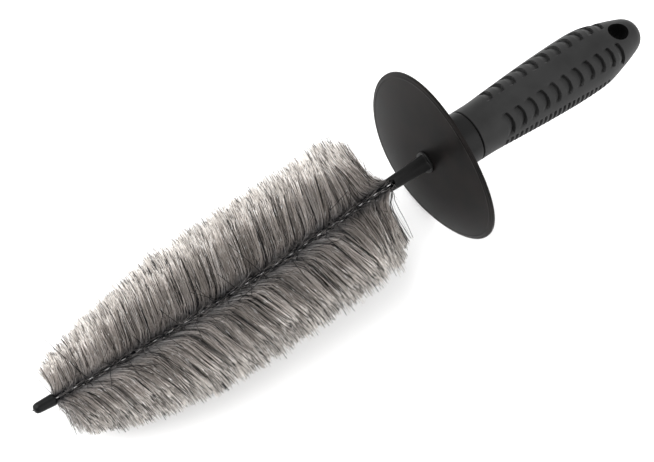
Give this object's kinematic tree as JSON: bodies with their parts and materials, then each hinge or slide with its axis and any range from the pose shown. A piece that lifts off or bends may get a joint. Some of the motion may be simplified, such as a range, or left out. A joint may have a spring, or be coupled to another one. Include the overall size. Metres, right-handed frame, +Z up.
{
  "type": "wheel brush",
  "caption": "Hand brush for cleaning car rims: a tapered twisted-wire bristle head, a round splash guard and a soft grip with a hole to hang it by.",
  "frame": {"origin": "on the surface that the brush lies on, under the middle of its bounding box", "axes": "+X from the tip towards the butt of the handle, +Z up with the brush lying on its guard's rim and its bristles, the handle's hanging hole facing up; the tool's own axis rises towards the butt by 4.62 degrees in the XZ plane"},
  "size_m": [0.4254, 0.108, 0.1074],
  "materials": {
    "wire": "drawn steel wire, dulled dark",
    "filament": "translucent taupe-grey nylon filaments with a few black ones among them, satin",
    "cap_plastic": "moulded black plastic, half gloss",
    "guard_plastic": "moulded black plastic, satin",
    "core_plastic": "moulded black plastic, fine satin",
    "grip_rubber": "soft black thermoplastic rubber, matte"
  },
  "bodies": {
    "handle": {"wire_strand_a": "wire", "wire_strand_b": "wire", "bristle_fan_01_left": "filament", "bristle_fan_01_right": "filament", "bristle_fan_02_left": "filament", "bristle_fan_02_right": "filament", "bristle_fan_03_left": "filament", "bristle_fan_03_right": "filament", "bristle_fan_04_left": "filament", "bristle_fan_04_right": "filament", "bristle_fan_05_left": "filament", "bristle_fan_05_right": "filament", "bristle_fan_06_left": "filament", "bristle_fan_06_right": "filament", "bristle_fan_07_left": "filament", "bristle_fan_07_right": "filament", "bristle_fan_08_left": "filament", "bristle_fan_08_right": "filament", "bristle_fan_09_left": "filament", "bristle_fan_09_right": "filament", "bristle_fan_10_left": "filament", "bristle_fan_10_right": "filament", "bristle_fan_11_left": "filament", "bristle_fan_11_right": "filament", "bristle_fan_12_left": "filament", "bristle_fan_12_right": "filament", "bristle_fan_13_left": "filament", "bristle_fan_13_right": "filament", "bristle_fan_14_left": "filament", "bristle_fan_14_right": "filament", "bristle_fan_15_left": "filament", "bristle_fan_15_right": "filament", "bristle_fan_16_left": "filament", "bristle_fan_16_right": "filament", "bristle_fan_17_left": "filament", "bristle_fan_17_right": "filament", "bristle_fan_18_left": "filament", "bristle_fan_18_right": "filament", "bristle_fan_19_left": "filament", "bristle_fan_19_right": "filament", "bristle_fan_20_left": "filament", "bristle_fan_20_right": "filament", "bristle_fan_21_left": "filament", "bristle_fan_21_right": "filament", "tip_cap": "cap_plastic", "handle_core": "core_plastic", "grip_sleeve": "grip_rubber"},
    "guard": {"splash_guard": "guard_plastic"}
  },
  "joints": [
    {"name": "guard_turn", "type": "hinge", "parent": "handle", "child": "guard", "pos_m": [0.05331, 0, 0.05344], "axis": [0.9967, 0, 0.0806], "continuous": true}
  ]
}
